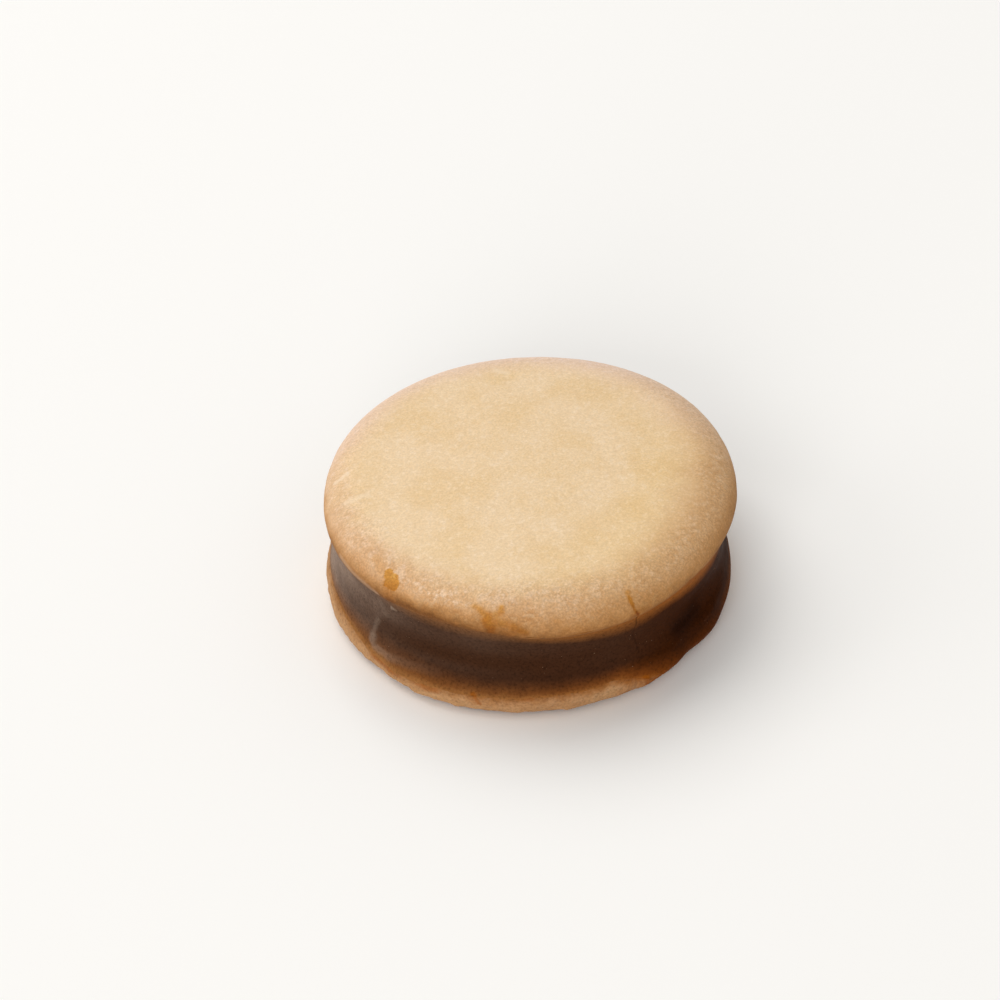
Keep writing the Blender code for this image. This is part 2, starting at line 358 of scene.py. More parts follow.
upper = {
    "radius": 32.65, "seat": 16, "widestAbove": 1.7, "lipInset": 1.6,
    "shoulderAbove": 5.7, "shoulderInset": 6.5, "height": 7.5,
    "offset": (0.74, 0.58),
    "waves": ((3, 0.0076, 119), (4, 0.005, 73), (5, 0.0051, 309), (6, 0.0026, 244)),
    "swell": 0.12, "swellCrest": 29,
    "rows": (4, 11, 30, 82),  # rings of the underside, lip, shoulder and crown
    "flats": (0.3, 0.006),  # where the underside starts and the crown ends, as shares
    "relief": ((11, 0.05), (4.5, 0.022), (1.8, 0.01), (0.9, 0.006)),  # cell, depth
    "rimRelief": ((3.2, 0.035), (1.5, 0.018), (0.8, 0.008)), "rimFrom": 24, "rimFull": 31,
    "unevenBrowning": ((7, 0.9), (2.2, 0.5)), "brownedFull": 34, "unevenSoak": ((3, 0.35), (1, 0.2)),
    # how strongly the rim is browned, and how far caramel has soaked up the lip
    "browning": (
        (-180, 0.85), (-160, 1.05), (-140, 1.5), (-118, 1.26), (-100, 1.1), (-60, 1.12), (-20, 1.25),
        (40, 0.8), (110, 0.7),
    ),
    "brownedFrom": ((-180, 25.2), (-120, 23.3), (-80, 22.8), (-50, 20.2), (-20, 17.5), (30, 20), (90, 23)),
    "soakHeight": (
        (-180, 3.2), (-150, 4.5), (-134, 4.8), (-118, 4), (-100, 5.4), (-85, 5.2), (-72, 5), (-58, 5.3),
        (-45, 4.7), (-20, 5), (10, 4.2), (50, 4.2), (90, 3), (130, 3.8), (160, 3),
    ),
    # the level below which the lip is soaked right through, above its seat
    "soakFrom": (
        (-180, 0.3), (-145, 1), (-130, 1.85), (-118, 1.8), (-104, 1.3), (-88, -0.1), (-72, -0.7), (-58, -0.1),
        (-45, -0.1), (-30, -0.2), (0, 0.2),
    ),
    # amber stains: strength, half width, softness, stops of (angle, radius, level)
    "amber": (
        (1, 0.68, 0.22, ((-136.1, 29.7, 20.6), (-135.6, 30.2, 20.1), (-135.3, 30.6, 19.7))),
        (1, 0.74, 0.22, ((-134, 29.9, 20.35), (-132.7, 30.2, 20), (-133.4, 30.6, 19.7))),
        (0.45, 0.7, 1.1, ((-135.4, 30.2, 20), (-134.4, 30.9, 19.2), (-133.4, 31.7, 17.6))),
        (0.4, 0.45, 0.9, ((-143, 29.2, 20.9), (-138.7, 29.8, 20.4))),
        (0.25, 0.6, 1.2, ((-150, 29.8, 20.6), (-146, 30.4, 19.9))),
        (0.72, 0.05, 1.15, ((-106.6, 29.8, 20.5), (-104.9, 30.2, 20.2), (-103.2, 30.9, 19.6))),
        (0.74, 0.1, 0.85, ((-98.9, 29.8, 20.65), (-98.7, 30.2, 20.3))),
        (0.62, 0.05, 1.1, ((-99.2, 30.4, 20.2), (-100.3, 30.7, 19.9), (-101.6, 31, 19.5))),
        (0.95, 0.3, 1.35, ((-102.8, 31, 19.4), (-101.6, 31.8, 18))),
        (0.66, 0.2, 1.6, ((-101, 31.3, 19.1), (-97.5, 31.4, 19.2), (-94.5, 31.9, 18.5))),
        (0.8, 0.2, 1, ((-93.4, 32, 18.4), (-92, 32.1, 18))),
        (0.5, 0.2, 1.2, ((-100.5, 32.1, 17.9), (-95, 32.3, 17.7))),
        (0.36, 0.2, 1.6, ((-84, 31.4, 19.3), (-81, 32.1, 18.2), (-77, 32.4, 17.6))),
        (0.55, 0.25, 0.65, ((-62.1, 30.8, 20.5), (-62.4, 31.5, 20))),
        (0.85, 0.16, 0.46, (
            (-62.5, 31.4, 20.1), (-62.3, 31.9, 19.6), (-62.2, 32.3, 19.1), (-62.1, 32.6, 18.5),
        )),
        (0.9, 0.08, 0.36, ((-62.1, 32.6, 18.5), (-61.4, 32.8, 17.7), (-61, 32.7, 17.3), (-60.8, 32.5, 16.8))),
        (0.4, 0.2, 1.4, ((-62, 32.6, 18), (-57.5, 32.5, 17.3))),
        (0.35, 0.3, 0.5, ((21, 29.8, 20.6), (23.5, 31, 19.5))),
        (0.6, 0.45, 0.4, ((64, 30.6, 19.9), (65.5, 31.3, 19))),
        (0.4, 0.35, 0.6, ((118, 30.2, 20.2), (120, 31.6, 18.4))),
    ),
    "crackStain": (
        (0.4, 0.05, 0.2, ((-62.3, 32.3, 19.1), (-62.1, 32.6, 18.5), (-61.6, 32.75, 18))),
        (0.45, 0.15, 0.7, ((-63, 32.7, 17.2), (-61.7, 32.7, 17.4))),
        (0.85, 0.06, 0.2, (
            (-61.6, 32.75, 18), (-61.4, 32.76, 17.7), (-61, 32.7, 17.3), (-60.8, 32.5, 16.8),
            (-60.6, 32.2, 16.3),
        )),
    ),
    "crack": (
        (-62.3, 32.3, 19.1), (-62.1, 32.6, 18.5), (-61.4, 32.76, 17.7), (-60.8, 32.5, 16.8),
        (-60.6, 32.2, 16.3),
    ),
    "crackWidth": 0.12, "crackDepth": 0.05, "spotDepth": 0.06,
    "scratchesAndSheen": (
        (0.42, 0.1, 0.55, ((178, 29.9, 20.8), (177.2, 28.9, 21.3), (175.6, 27.9, 21.8))),
        (0.3, 0.12, 0.7, ((-170.6, 28.4, 21.6), (-170.1, 27.2, 22), (-171.2, 25, 22.4))),
        (0.3, 0.2, 0.7, ((98.3, 26.2, 22.4), (94.3, 24.9, 22.5))),
        (0.2, 0.2, 0.6, ((146, 19.1, 22.8), (143, 19.4, 22.8))),
        # not a scratch: a painted sheen along the lip's lower edge
        (0.12, 0.12, 0.6, (
            (-156, 31.85, 17.8), (-150, 31.8, 17.6), (-142.9, 31.7, 17.5), (-138.2, 31.4, 17),
        )),
    ),
    "cream": shade(234, 206, 167), "creamWarm": shade(230, 199, 154),
    # layers of the finish: strength and colour
    "rimTan": (1, shade(199, 156, 110)), "rimRose": (1, shade(236, 207, 184)),
    "pitTan": (0.39, shade(196, 150, 104)), "rimPale": (0.37, shade(236, 209, 181)),
    "fleckTint": (0.64, (1.1, 1.17, 1.38, 1)), "dipWarm": (0.14, shade(222, 184, 136)),
    "goldAndShadeTint": (1, (0.985, 0.955, 0.86, 1)), "amberTint": (1, (0.86, 0.64, 0.23, 1)),
    # the scratches' pale colour also paints a sheen along the lip's edge
    "crackTint": (1, (0.55, 0.34, 0.11, 1)), "scratchAndSheenPale": (1, shade(246, 228, 204)),
    # how rosy rather than tan the browned rim is
    "rosy": ((-180, 0.2), (-150, 0.15), (-120, 0.05), (0, 0.1), (40, 1), (75, 2.2), (120, 1.8), (160, 1)),
    # how much more golden it is to the right, partly browning and partly painted shade
    "golden": ((-90, 0), (-75, 0.6), (-60, 1.1), (-45, 1.6), (-25, 1.8), (20, 0.7), (60, 0)),
    "goldenAndShadeFrom": 11, "goldenAndShadeFull": 26,
    # the floury band along the rim: where it lies, and how strong it is round the rim
    "flouryReach": 30.2, "flouryHalfWidth": 3.5, "flouryWander": 1.8,
    "floury": (
        (-180, 0.4), (-150, 0.6), (-140, 0.8), (-125, 1), (-90, 0.95), (-60, 0.95), (-40, 0.7), (20, 0.6),
        (80, 0.3), (150, 0.35),
    ),
    "flourSpots": (
        (0.55, 0.3, 1.6, ((-119.5, 29.9, 20.1), (-114.8, 30.1, 20))),
        (0.55, 0.3, 1.4, ((-112.6, 30.4, 19.8), (-109.5, 30.7, 19.5))),
        (0.6, 0.3, 1.2, ((-107.6, 29.9, 20.4), (-107.2, 30.7, 19.7))),
        (0.55, 0.3, 1.4, ((-92.9, 31.1, 19.8), (-91.5, 31.5, 19.5), (-89.7, 31, 20.1))),
        (0.35, 0.4, 1.8, ((-101, 28.9, 21.1), (-97, 28.9, 21.2))),
        (0.45, 0.3, 1.2, ((-66.5, 31.5, 20), (-65.2, 31.7, 19.8))),
        (0.4, 0.3, 1.6, ((-58.8, 32.2, 19), (-56, 32.4, 18.6))),
    ),
    # what the soaked caramel leaves of the red, green and blue of the biscuit
    "soakTints": (
        (0, (1, 1, 1, 1)), (0.275, (0.85, 0.75, 0.61, 1)), (0.5, (0.71, 0.58, 0.4, 1)),
        (0.675, (0.56, 0.42, 0.25, 1)), (0.85, (0.42, 0.285, 0.14, 1)), (1, (0.28, 0.17, 0.07, 1)),
    ),
}

# The lower biscuit

lower = {
    "radius": 32.5, "height": 6.2, "widestAt": 3, "footInset": 2.2, "shoulderInset": 1.9,
    "waves": ((2, 0.0008, 49), (5, 0.0015, 183), (6, 0.0015, 33)),
    "dents": (  # angle, depth, half width; a negative depth stands proud
        (-137, 0.32, 2.6), (-126, -0.16, 9), (-56, -0.2, 4), (-58, -0.22, 1.8), (-41, 0.5, 5),
        (-29, -0.26, 5), (27, 0.32, 4), (96, -0.2, 6), (143, 0.28, 4),
    ),
    "rows": (46, 26, 26, 4), "flats": (0.01, 0.2),
    "relief": ((6, 0.07), (2.8, 0.1), (1.3, 0.11), (0.7, 0.07)),
    "baseRelief": ((5, 0.05), (1.8, 0.05), (0.9, 0.03)), "baseSunk": 0.08, "hiddenSink": 0.12,
    "ragged": ((2.4, 0.14), (1.2, 0.16), (0.7, 0.07)), "raggedLevel": 1.5, "raggedHalfHeight": 1,
    "tan": shade(185, 140, 96), "tanPale": (0.3, shade(214, 178, 138)),
    # the drip amber also paints shade low on the foot at the right
    "baseBrown": shade(160, 106, 58), "baseDark": shade(116, 68, 32), "dripAmber": (0.95, shade(147, 77, 8)),
    "dripsAndShade": (  # the first three also tint the film over them
        (0.72, 0.14, 0.42, ((-107.3, 32.3, 4.5), (-106.6, 32.5, 3.6), (-105.5, 32.5, 2.6))),
        (0.85, 0.32, 0.6, ((-58.6, 32.55, 3.3), (-57.9, 32.5, 2.3), (-57.6, 32.3, 1.3))),
        (0.55, 0.25, 0.8, ((-58.4, 32.4, 2.2), (-59.8, 32.4, 2))),
        (0.3, 0.3, 1.2, ((-108, 32.3, 4.4), (-105, 32.4, 4.3))),
        (0.5, 0.3, 0.6, ((-94, 32.3, 4.5), (-91.5, 32.4, 4.2))),
        (0.6, 0.4, 1, ((-125, 32.3, 4), (-121, 32.4, 3.7), (-118.5, 32.4, 3.8))),
        (0.6, 0.4, 1.2, ((-139.5, 32, 4), (-135.5, 32.1, 3.4), (-131, 32.1, 3.5))),
        (0.8, 0.5, 1.2, ((-57.6, 32.4, 2.4), (-57, 32.1, 1.2), (-55.5, 32.1, 1.2))),
        # not a drip: painted shade low on the foot at the right
        (0.32, 0.5, 1.8, ((-65, 32.3, 2), (-60, 32.3, 2.2))),
        (0.3, 0.25, 0.8, ((-107.8, 32.5, 3.4), (-106.6, 32.5, 2.9))),
        (0.14, 0.9, 1.6, ((-103, 32.4, 2.8), (-88, 32.4, 2.8), (-78, 32.4, 2.8))),
        (0.8, 0.5, 1, ((-56.5, 32.2, 1.8), (-54, 31.9, 1.2), (-52.5, 31.7, 1))),
        (0.6, 0.25, 0.5, ((14, 32.2, 4.7), (15, 32.5, 3.2))),
        (0.6, 0.3, 0.6, ((82, 32.2, 4.8), (83.5, 32.5, 3))),
    ),
}

# The caramel

caramel = {
    "radius": 31.2, "foot": 6.5, "height": 9.2,
    "footFlare": 0.55, "footFlareReach": 2.6, "headFlare": 0.15, "offsetShare": 0.5,
    "hollowDepth": 0.55, "hollowLevel": 11.6, "sinkPerDegree": 0.035, "hollowHalfHeight": 2.9,
    "hollowEnd": (-26, -14),  # where the hollow fades out and where it is gone
    "dimpleDepth": 0.4, "dimpleAngle": -37, "dimpleWidth": 11,
    "backShare": 0.45, "backAngle": 95, "backWidth": 45,
    "foldAngle": -141, "foldFade": 4.5, "foldLean": 8, "foldLevel": 7,
    "ridgeHeight": 0.22, "ridgeWidth": 1.8,
    "filmSlope": 0.3, "filmLeast": 0.05, "filmFade": 1.3, "filmSmear": 0.32, "filmLowest": 0.3,
    "filmNoneAt": 0.5, "filmSink": 0.03, "pressedFrom": 5.2,
    "overlap": 0.35, "headOverlap": 1.9, "skirtInset": 0.25, "headProud": 0.04, "headSunk": 0.4,
    # how far the head runs out to meet the lip, and how brown it is there, round the side
    "meets": ((-180, 0.1), (-145, 0.15), (-134, 0.9), (-100, 1), (-20, 1), (0, 0.95), (100, 0.8), (150, 0.4)),
    "meetsFrom": 13.8, "meetsAt": 17.2,
    "headBrown": (
        (-180, 0), (-146, 0), (-134, 0.32), (-125, 0.34), (-110, 0.34), (-100, 0.36), (-92, 0.46),
        (-85, 0.58), (-72, 0.8), (-58, 0.74), (-46, 0.86), (-38, 0.94), (-27, 0.84), (0, 0.62), (100, 0.62),
        (150, 0.5),
    ),
    # the level where that brown starts
    "headFrom": (
        (-180, 15.4), (-125, 15.2), (-102, 14.7), (-92, 14.6), (-85, 14.2), (-72, 13.1), (-58, 12.4),
        (-46, 13.7), (-38, 12.3), (-27, 11.7), (0, 13.6), (90, 14.6),
    ),
    # and the level where it is full
    "headFull": (
        (-180, 17), (-125, 17), (-102, 16.9), (-92, 16.1), (-85, 15.5), (-72, 15.4), (-58, 15.5), (-41, 15.3),
        (-27, 14.2), (0, 15.6), (90, 16.4),
    ),
    "rows": {"under": 3, "skirt": 8, "film": 26, "side": 66, "top": 3},
    "unevenSmear": ((4, 0.4), (1.5, 0.22), (0.7, 0.1)), "unevenSkinAndSheen": ((5, 0.25), (1.6, 0.15)),
    "relief": ((7, 0.06), (2.8, 0.03), (1.1, 0.01)),
    # the levels where the caramel's colour is gone, and where it is full
    "smearLow": (
        (-180, 4.6), (-168, 4.3), (-160, 3.6), (-152, 3.1), (-144, 2.7), (-138, 0), (-128, 1.4), (-110, 2.5),
        (-95, 2.4), (-72, 3), (-67, 2.9), (-62.5, 4.2), (-59.5, 2.8), (-57, -0.6), (-50, -1.9), (-40, -2.9),
        (-26, -1), (0, 2), (40, 3), (90, 2.4), (130, 3.2), (160, 4.4),
    ),
    "smearHigh": (
        (-180, 9.6), (-168, 9.2), (-160, 8.4), (-145, 8.8), (-137, 9), (-125, 7.7), (-95, 7.1), (-68, 7),
        (-62.5, 6.7), (-57, 7.3), (-50, 5.2), (-40, 4), (-20, 4.9), (30, 7.2), (90, 6.9), (150, 8.2),
    ),
    # where the run of colour is a more saturated amber, deeper on the right partly as painted shade
    "amberAndShade": (
        (-135, 0), (-120, 0.15), (-100, 0.12), (-82, 0.4), (-70, 0.45), (-58, 0.9), (-40, 1),
        (-26, 1), (0, 0.2), (60, 0), (84, 0.5), (110, 0),
    ),
    "amberAndShadeTint": (1.02, 0.69, 0.29, 1),
    # the paler dried skin, with a painted sheen, round the side, low down and under the lip
    "skinAndSheenLow": (
        (-180, 1.2), (-171, 1.2), (-165, 0.6), (-158, 0.33), (-152, 0.26), (-145, 0.24), (-141, 0.21),
        (-137, 0.11), (-125, 0.04), (-110, 0.03), (-85, 0.03), (-72, 0.07), (-58, 0.05), (-45, 0), (10, 0),
        (40, 0.2), (70, 0.05), (110, 0.12), (150, 0.5),
    ),
    "skinAndSheenHigh": (
        (-180, 1.1), (-170, 1.1), (-160, 0.83), (-152, 0.54), (-145, 0.41), (-137, 0.28), (-131, 0.16),
        (-125, 0.09), (-118, 0.08), (-110, 0.11), (-100, 0.11), (-92, 0.07), (-80, 0.04), (-70, 0.04),
        (-58, 0.02), (-45, 0), (10, 0), (40, 0.3), (70, 0.1), (110, 0.2), (150, 0.6),
    ),
    "skinAndSheenFrom": (5.2, 8.2), "skinAndSheenRise": (9, 14.5),  # the levels where it starts, and where low turns high
    # a faint painted sheen along the foot of the hollow
    "lowSheenBand": ((-137, 0), (-131, 0.05), (-119, 0.11), (-102, 0.05), (-88, 0)),
    # the fold's raised edge, also painted as a highlight: down the side, round over the shoulder and
    # off to the right
    "foldEdge": (
        (0.32, 0.2, 0.8, ((-137.9, 31, 15), (-136.8, 31, 14), (-135.6, 31, 13))),
        (0.44, 0.15, 0.6, (
            (-139.4, 31.1, 11), (-140.4, 31.1, 9.8), (-141.3, 31.3, 8.4), (-141.4, 31.5, 7.2),
        )),
        (0.9, 0.25, 1, (
            (-141.4, 31.5, 7.2), (-141.3, 31.8, 6.3), (-140.5, 31.9, 5.7), (-138.6, 32, 5.35),
            (-135.6, 32, 5.35), (-132.2, 31.8, 5.6), (-127.5, 31.8, 5.9), (-118, 31.7, 6.4),
        )),
    ),
    # how that edge fades towards the right
    "foldEdgeFade": ((-141, 1), (-136, 0.75), (-130, 0.33), (-124, 0.18), (-114, 0)),
    "foldEdgeHeight": 0.1,
    "paleFleck": ((2, 0.3, 0.35, ((-133, 31.5, 15.5), (-131.9, 31.5, 15.2))),),
    "trench": ((-43.5, 31, 7), (-39, 31, 6.9), (-34, 31, 7.3)),
    "trenchDepth": 0.22, "trenchWidth": 1.1,
    "crack": (
        (-60.8, 32.3, 16.7), (-60.3, 31.6, 15.4), (-59.8, 31.2, 13.8), (-60.3, 31.1, 13.1),
        (-60.8, 30.9, 11.6), (-59.3, 30.7, 9.4), (-59, 30.7, 8.5), (-58.5, 30.9, 7.6),
    ),
    "crackWidth": 0.12, "crackDepth": 0.05,
    "body": shade(60, 34, 18),
    # layers of the finish: strength and colour
    # the skin's grey is dried skin and a painted sheen; the streaks' colour below is painted sheen
    "headTint": (1, shade(160, 104, 51)), "skinAndSheenGrey": (1, shade(146, 123, 107)),
    # the fold edge's colour on this line is a painted highlight
    "streakSheen": (0.3, shade(150, 130, 112)), "foldHighlight": (0.45, shade(148, 128, 111)),
    # the trench and crack's dark colour on this line is painted shade
    "deep": (0.8, shade(34, 15, 7)), "fleck": (0.3, shade(120, 96, 76)),
    "crumbs": 85, "crumbSize": (0.05, 0.09),
    "crumbColour": shade(88, 62, 44), "crumbPale": shade(150, 114, 82),
}


# How far the lower biscuit's rim stands from a plain circle at an angle, in millimetres
def lowerRimOffset(angle):
    dent = sum(depth * bell(turnFrom(centre, angle), width) for centre, depth, width in lower["dents"])
    return lower["radius"] * (rimShare(lower["waves"], angle) - 1) - dent


# The radius of the lower biscuit's plain side at a level: the widest ring less the quarter oval of
# its shoulder above and of its foot below
def lowerSideRadius(level):
    climb = np.clip((level - lower["widestAt"]) / (lower["height"] - lower["widestAt"]), 0, 1)
    drop = np.clip(1 - level / lower["widestAt"], 0, 1)
    return lower["radius"] - lower["shoulderInset"] * ovalInset(climb) - lower["footInset"] * ovalInset(drop)


# Where the layers' common middle lies in the frame: the middle of the lower biscuit's box there,
# less the middle of its outline about its own axis
cadAngles = np.arange(144) * 2.5
cadReach = lower["radius"] + lowerRimOffset(cadAngles)
outline = stopsToPoints(np.stack([cadAngles, cadReach, 0 * cadReach], axis=-1))
ownMiddle = (outline.max(axis=0) + outline.min(axis=0)) / 2
middle = (np.array(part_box("bottom_biscuit")).mean(axis=0) / mm - ownMiddle) * (1, 1, 0)
print("middle of the layers, mm:", np.round(middle, 3).tolist())


# The caramel's colour over itself and the lower biscuit: the share of the way up from where it is
# gone to where it is full, loosened by noise, so that the two pieces always agree
def smearTone(points):
    low, high = roundTheRim(caramel["smearLow"]), roundTheRim(caramel["smearHigh"])
    uneven = cloudRelief(points, caramel["unevenSmear"], 41)
    return np.clip((points[..., 2] + uneven - low) / (high - low), 0, 1)


# How far the run of colour is turned to amber, partly as painted shade on the right, by angle: a
# fifth less above the caramel's foot, and a fifth less again under the lip
def amberAndShadeTone(points):
    less = smoothStep(caramel["foot"], 9, points[..., 2]) + smoothStep(13, 15, points[..., 2])
    return roundTheRim(caramel["amberAndShade"]) * (1 - 0.2 * less)


# The upper biscuit's surface: its half-section turned about the axis, domed by 1 less the square
# of its reach, and stretched by the rim's waves
def upperRings():
    widest, shoulder = upper["seat"] + upper["widestAbove"], upper["seat"] + upper["shoulderAbove"]
    radii, levels = halfSection(upper, upper["seat"], widest, shoulder, upper["lipInset"])
    reach, levels = (radii / upper["radius"])[:, None], levels[:, None]
    dome = upper["height"] - upper["shoulderAbove"]
    swell = upper["swell"] * reach * np.cos(2 * (turns - math.radians(upper["swellCrest"])))
    levels = levels + smoothStep(widest, shoulder, levels) * (dome * (1 - reach**2) + swell)
    stretched = radii[:, None] * (1 + (rimShare(upper["waves"], angles) - 1) * reach**2)
    return leaned(ringGrid(stretched, levels) + np.array([*upper["offset"], 0]), 1)


# The upper biscuit's relief: soft clouds all over, more on the rim, a cut along the crack and a
# shallow dent in the stained spot
def upperRelief(rings):
    rim = smoothStep(upper["rimFrom"], upper["rimFull"], reachFrom(rings, upper["offset"]))
    height = cloudRelief(rings, upper["relief"], 11) + rim * cloudRelief(rings, upper["rimRelief"], 17)
    height = height * smoothStep(upper["seat"], upper["seat"] + 0.6, rings[..., 2])
    cut = bell(distanceToPath(rings, stopsToPoints(upper["crack"])), upper["crackWidth"])
    return height - upper["crackDepth"] * cut - upper["spotDepth"] * markTone(rings, upper["amber"][:2], 0.1)


# The upper biscuit's named tones: browning by reach, caramel soaked up the lip by level, amber
# marks, a floury band along the rim, pale scratches, and a painted sheen along the lip's lower edge
def upperTones(rings):
    reach, level = reachFrom(rings, upper["offset"]), rings[..., 2]
    browned = reach + cloudRelief(rings, upper["unevenBrowning"], 31)
    browned = smoothStep(roundTheRim(upper["brownedFrom"]), upper["brownedFull"], browned)
    browned = browned * roundTheRim(upper["browning"])
    above = level + cloudRelief(rings, upper["unevenSoak"], 35) - upper["seat"]
    soakFrom = roundTheRim(upper["soakFrom"])
    soaked = 1 - (above - soakFrom) / (roundTheRim(upper["soakHeight"]) - soakFrom)
    fromBand = reach + upper["flouryWander"] * cloud(rings, 5, 38) - upper["flouryReach"]
    floury = bell(fromBand, upper["flouryHalfWidth"]) * roundTheRim(upper["floury"])
    return {
        "browned": browned, "rosy": browned * roundTheRim(upper["rosy"]),
        "soaked": np.clip(soaked, -0.4, 1.1),
        "amber": markTone(rings, upper["amber"], 0.26), "crack": markTone(rings, upper["crackStain"], 0.04),
        "floury": floury + markTone(rings, upper["flourSpots"], 0.5),
        # pale scratches, and a painted sheen along the lip's edge
        "scratchAndSheen": markTone(rings, upper["scratchesAndSheen"], 0.14),
        # golden to the right: partly browning, partly painted shade
        "golden": smoothStep(upper["goldenAndShadeFrom"], upper["goldenAndShadeFull"], reach) * roundTheRim(upper["golden"]),
    }


# The lower biscuit's surface: its half-section turned about the axis, stretched by waves and dents
def lowerRings():
    radii, levels = halfSection(lower, 0, lower["widestAt"], lower["height"], lower["footInset"])
    return ringGrid(radii[:, None] * (1 + lowerRimOffset(angles) / lower["radius"]), levels[:, None])


# The lower biscuit's relief: crags round the edge, filled and a little sunk where the caramel lies,
# and a pitted base that only sinks upwards from the table
def lowerRelief(rings, smear):
    edge = smoothStep(0.1, 1.2, rings[..., 2])
    atFoot = bell(rings[..., 2] - lower["raggedLevel"], lower["raggedHalfHeight"])
    crags = cloudRelief(rings, lower["relief"], 21) + atFoot * cloudRelief(rings, lower["ragged"], 28)
    crags = crags * edge * (1 - 0.9 * smoothStep(0.15, 0.5, smear))
    crags = crags - lower["hiddenSink"] * edge * smoothStep(0.4, 0.8, smear)
    pits = cloudRelief(rings, lower["baseRelief"], 26)
    return crags - (1 - edge) * (lower["baseSunk"] + np.minimum(pits, lower["baseSunk"]))


# Degrees past the fold's edge, which swings back with the square of the climb
def pastFold(angle, level):
    top = caramel["foot"] + caramel["height"]
    climb = np.maximum(0, level - caramel["foldLevel"]) / (top - caramel["foldLevel"])
    return turnFrom(caramel["foldAngle"] + caramel["foldLean"] * climb**2, angle)


# How far the caramel's side is pressed in: the front hollow between the fold and its right end,
# a dimple, a softer hollow behind, less the fold's raised edge
def caramelInset(angle, level):
    fold = pastFold(angle, level)
    fades, ends = caramel["hollowEnd"]
    front = smoothStep(0, caramel["foldFade"], fold) * (1 - smoothStep(fades, ends, angle))
    back = caramel["backShare"] * bell(turnFrom(caramel["backAngle"], angle), caramel["backWidth"])
    dimple = bell(turnFrom(caramel["dimpleAngle"], angle), caramel["dimpleWidth"])
    sink = caramel["sinkPerDegree"] * np.maximum(0, np.minimum(angle, ends) - caramel["foldAngle"])
    above, halfHeight = level - caramel["hollowLevel"], caramel["hollowHalfHeight"]
    inset = caramel["hollowDepth"] * front + caramel["dimpleDepth"] * dimple
    inset = inset * bell(above + sink, halfHeight) + caramel["hollowDepth"] * back * bell(above, halfHeight)
    return inset - caramel["ridgeHeight"] * bell(fold, caramel["ridgeWidth"])


# The film's radius at a level: the biscuit's side plus what a fillet that narrows upwards adds to
# it. Below the widest ring it is as thick as there, faded towards the table, and it thins to
# nothing at the film's end. The side's inset is let in just under the caramel's foot. Only the
# film's last edge is inside the biscuit.
def filmRadius(level, filmEnd):
    upTo = np.maximum(level, lower["widestAt"])
    fillet = caramel["radius"] + caramel["footFlare"] + caramel["filmSlope"] * (caramel["foot"] - upTo)
    thickness = (fillet - lowerSideRadius(upTo)) * smoothStep(caramel["filmNoneAt"], lower["widestAt"], level)
    thickness = np.maximum(thickness, caramel["filmLeast"])
    thickness = thickness * smoothStep(filmEnd - 0.05, filmEnd + caramel["filmFade"], level)
    atFoot = smoothStep(caramel["pressedFrom"], caramel["foot"], level)
    pressed = caramelInset(angles, np.full_like(angles, caramel["foot"])) * atFoot
    plain, offset = lowerSideRadius(level), lowerRimOffset(angles)
    least = plain + offset + caramel["filmLeast"] * smoothStep(filmEnd - 0.05, filmEnd + 0.5, level)
    radius = np.maximum(plain + thickness + offset * (1 - atFoot) - pressed, least)
    return radius - caramel["filmSink"] * (1 - smoothStep(filmEnd, filmEnd + 0.2, level))


# The lip's own radius at a level below its widest ring, about the caramel's axis: the quarter oval
# stretched by the rim's waves, moved by half of the biscuit's offset
def lipRadius(level):
    widest = upper["seat"] + upper["widestAbove"]
    drop = np.clip((widest - level) / upper["widestAbove"], 0, 1)
    plain = upper["radius"] - upper["lipInset"] * ovalInset(drop)
    shift = upper["offset"][0] * np.cos(turns) + upper["offset"][1] * np.sin(turns)
    return plain * rimShare(upper["waves"], angles) + shift * (1 - caramel["offsetShare"])


